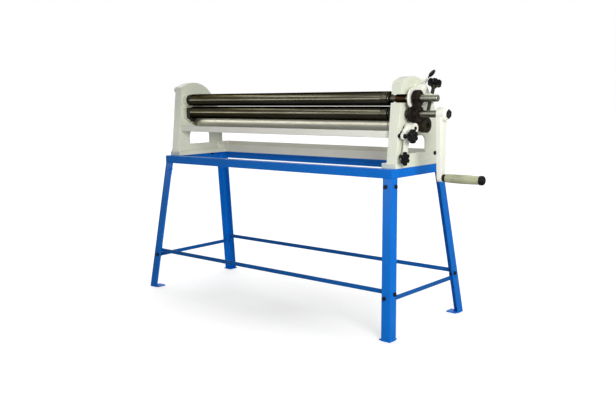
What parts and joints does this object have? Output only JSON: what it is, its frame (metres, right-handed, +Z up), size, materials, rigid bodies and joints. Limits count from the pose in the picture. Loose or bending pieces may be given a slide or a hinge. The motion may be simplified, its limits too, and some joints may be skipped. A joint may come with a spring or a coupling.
{
  "type": "slip roll machine",
  "caption": "Hand-cranked slip roll: geared pinch rolls and an adjustable rear roll between cast housings, on a splayed angle-iron stand with a release latch and pinch lever.",
  "frame": {"origin": "on the floor at the centre of the stand's foot-plate bolt pattern", "axes": "+X along the rolls towards the crank, +Y to the rear, +Z up"},
  "size_m": [1.954, 0.619, 1.1498],
  "materials": {
    "blue_paint": "gloss paint on rolled steel angle",
    "cream_paint": "satin paint on castings",
    "white_paint": "satin paint on small castings",
    "oiled_steel": "turned and oiled",
    "satin_steel": "turned, satin",
    "shaft_steel": "turned",
    "dark_steel": "blackened",
    "gear_steel": "cut teeth, oiled",
    "bronze": "oiled bearing bronze",
    "black_fastener": "black oxide",
    "black_plastic": "moulded",
    "grip_plastic": "moulded"
  },
  "bodies": {
    "root": {"clamp_stud": "shaft_steel", "foot_plates": "blue_paint", "front_lower_rail": "blue_paint", "front_tie_bar": "cream_paint", "front_top_rail": "blue_paint", "hold_down_bolts": "black_fastener", "latch_pin": "shaft_steel", "left_housing": "cream_paint", "left_lower_rail": "blue_paint", "left_top_rail": "blue_paint", "leg_front_left": "blue_paint", "leg_front_right": "blue_paint", "leg_rear_left": "blue_paint", "leg_rear_right": "blue_paint", "lever_stop_bolt": "black_fastener", "lower_gussets": "blue_paint", "lower_leg_bolts": "black_fastener", "rear_lower_rail": "blue_paint", "rear_tie_channel": "cream_paint", "rear_top_rail": "blue_paint", "right_housing": "cream_paint", "right_lower_rail": "blue_paint", "right_top_rail": "blue_paint", "tie_bolts": "black_fastener", "top_bearing_left": "dark_steel", "top_bush_right": "bronze", "upper_gussets": "blue_paint", "upper_leg_bolts": "black_fastener"},
    "lower_carriage": {"lower_bearing_left": "dark_steel", "lower_bearing_right": "dark_steel"},
    "left_pinch_screw": {"left_pinch_screw": "shaft_steel"},
    "lower_drive": {"lower_roll": "oiled_steel", "lower_gear": "gear_steel", "shaft_flange": "dark_steel", "crank_arm": "white_paint", "crank_bolt": "black_fastener", "grip_spindle": "shaft_steel", "grip_cap": "black_plastic"},
    "grip": {"crank_grip": "grip_plastic"},
    "upper_roll": {"top_roll": "oiled_steel", "top_gear": "gear_steel"},
    "rear_carriage": {"rear_bearing_left": "dark_steel", "rear_bearing_right": "dark_steel"},
    "rear_idler": {"rear_roll": "satin_steel"},
    "rear_adjuster_right": {"rear_screw_right": "shaft_steel", "rear_knob_right": "black_plastic"},
    "rear_adjuster_left": {"rear_screw_left": "shaft_steel", "rear_knob_left": "black_plastic"},
    "latch": {"latch_hook": "white_paint", "latch_handle": "black_plastic"},
    "lever": {"pinch_lever": "white_paint", "cam_shaft": "shaft_steel"},
    "handle_knob": {"handle_knob": "black_plastic"},
    "clamp_knob": {"clamp_knob": "black_plastic"}
  },
  "joints": [
    {"name": "pinch_slide", "type": "slide", "parent": "root", "child": "lower_carriage", "axis": [0, 0, 1], "range_m": [-0.003, 0]},
    {"name": "left_screw_turn", "type": "hinge", "parent": "lower_carriage", "child": "left_pinch_screw", "pos_m": [-0.72, -0.092, 0.9], "axis": [0, 0, 1], "range_deg": [-545, 5]},
    {"name": "lower_roll_spin", "type": "hinge", "parent": "lower_carriage", "child": "lower_drive", "pos_m": [0, -0.092, 0.959], "axis": [1, 0, 0], "continuous": true},
    {"name": "grip_spin", "type": "hinge", "parent": "lower_drive", "child": "grip", "pos_m": [1.03, -0.092, 0.691], "axis": [1, 0, 0], "continuous": true},
    {"name": "top_roll_spin", "type": "hinge", "parent": "root", "child": "upper_roll", "pos_m": [0, -0.092, 1.025], "axis": [1, 0, 0], "continuous": true},
    {"name": "rear_slide", "type": "slide", "parent": "root", "child": "rear_carriage", "axis": [0, 0.4003, 0.9164], "range_m": [0, 0.05]},
    {"name": "rear_roll_spin", "type": "hinge", "parent": "rear_carriage", "child": "rear_idler", "pos_m": [0, -0.034, 0.91], "axis": [1, 0, 0], "continuous": true},
    {"name": "rear_screw_right_turn", "type": "hinge", "parent": "rear_carriage", "child": "rear_adjuster_right", "pos_m": [0.8, -0.01799, 0.94666], "axis": [0, 0.4003, 0.9164], "range_deg": [-5, 4505]},
    {"name": "rear_screw_left_turn", "type": "hinge", "parent": "rear_carriage", "child": "rear_adjuster_left", "pos_m": [-0.8, -0.01799, 0.94666], "axis": [0, 0.4003, 0.9164], "range_deg": [-5, 4505]},
    {"name": "latch_turn", "type": "hinge", "parent": "root", "child": "latch", "pos_m": [0.781, -0.01, 1.07], "axis": [-1, 0, 0], "range_deg": [0, 50]},
    {"name": "lever_turn", "type": "hinge", "parent": "root", "child": "lever", "pos_m": [0.78, -0.11, 0.898], "axis": [1, 0, 0], "range_deg": [-12.6, 0.5]},
    {"name": "handle_knob_turn", "type": "hinge", "parent": "lever", "child": "handle_knob", "pos_m": [0.78, -0.155, 0.77], "axis": [1, 0, 0], "range_deg": [0, 90]},
    {"name": "clamp_knob_turn", "type": "hinge", "parent": "root", "child": "clamp_knob", "pos_m": [0.8, -0.15, 0.866], "axis": [1, 0, 0], "range_deg": [0, 90]}
  ],
  "couplings": [
    {"joint": "top_roll_spin", "follows": "lower_roll_spin", "ratio": -1},
    {"joint": "left_screw_turn", "follows": "pinch_slide", "rad_per_m": 3141.6},
    {"joint": "lever_turn", "follows": "pinch_slide", "rad_per_m": 69.813},
    {"joint": "rear_screw_right_turn", "follows": "rear_slide", "rad_per_m": 1570.8},
    {"joint": "rear_screw_left_turn", "follows": "rear_slide", "rad_per_m": 1570.8}
  ]
}
